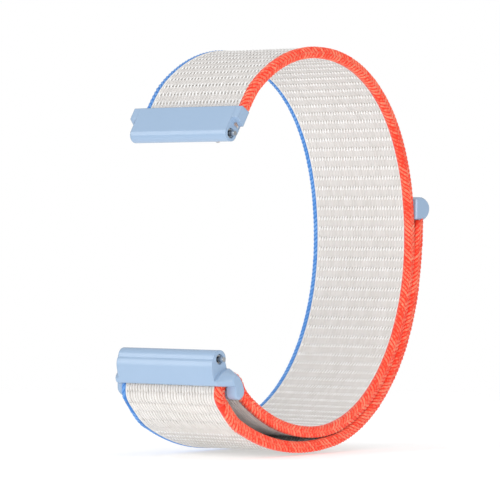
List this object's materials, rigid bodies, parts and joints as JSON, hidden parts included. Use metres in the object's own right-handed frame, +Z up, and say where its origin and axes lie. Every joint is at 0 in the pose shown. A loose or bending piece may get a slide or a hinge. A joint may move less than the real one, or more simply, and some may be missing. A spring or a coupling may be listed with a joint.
{
  "type": "hook and loop watch strap",
  "caption": "Woven hook and loop watch strap in a closed wrist loop, with two lug connectors, sprung quick-release bars, coral and blue edges, and a moulded end tab.",
  "frame": {"origin": "on the axis of the upper spring bar, at the middle of the strap's width", "axes": "+X along the spring bars towards the coral edge, +Y back round the wrist, +Z up from the 6 o'clock end to the 12 o'clock end"},
  "size_m": [0.026, 0.058, 0.068],
  "materials": {
    "nylon_weave": "ribbed nylon weave, off-white",
    "coral_edge": "braided nylon edge, coral red",
    "blue_edge": "braided nylon edge, mid blue",
    "hook_tape": "moulded hook tape, pale grey",
    "connector": "satin, pale blue",
    "bar_steel": "turned stainless steel"
  },
  "bodies": {
    "strap": {"upper_connector": "connector", "upper_bar_tube": "bar_steel", "upper_bar_fixed_tip": "bar_steel", "upper_bar_spring": "bar_steel", "band_main": "nylon_weave", "main_coral_edge": "coral_edge", "main_blue_edge": "blue_edge", "band_fold": "nylon_weave", "fold_coral_edge": "coral_edge", "fold_blue_edge": "blue_edge"},
    "upper_release": {"upper_bar_release_tip": "bar_steel", "upper_release_knob": "bar_steel"},
    "tail": {"band_tail": "nylon_weave", "tail_coral_edge": "coral_edge", "tail_blue_edge": "blue_edge", "hook_patch": "hook_tape", "end_tab": "connector"},
    "lower_clip": {"lower_connector": "connector", "lower_bar_tube": "bar_steel", "lower_bar_fixed_tip": "bar_steel", "lower_bar_spring": "bar_steel"},
    "lower_release": {"lower_bar_release_tip": "bar_steel", "lower_release_knob": "bar_steel"}
  },
  "joints": [
    {"name": "upper_bar_slide", "type": "slide", "parent": "strap", "child": "upper_release", "axis": [-1, 0, 0], "range_m": [0, 0.0014], "stiffness_N_per_m": 400, "springref_m": -0.002, "deforming": ["upper_bar_spring"]},
    {"name": "lower_bar_slide", "type": "slide", "parent": "lower_clip", "child": "lower_release", "axis": [-1, 0, 0], "range_m": [0, 0.0014], "stiffness_N_per_m": 400, "springref_m": -0.002, "deforming": ["lower_bar_spring"]},
    {"name": "tail_peel", "type": "hinge", "parent": "strap", "child": "tail", "pos_m": [0, 0, -0.04235], "axis": [-1, 0, 0], "range_deg": [0, 60], "deforming": ["band_fold", "fold_coral_edge", "fold_blue_edge"]},
    {"name": "clip_swing", "type": "hinge", "parent": "strap", "child": "lower_clip", "pos_m": [0, 0, -0.04235], "axis": [-1, 0, 0], "range_deg": [-15, 25]}
  ]
}
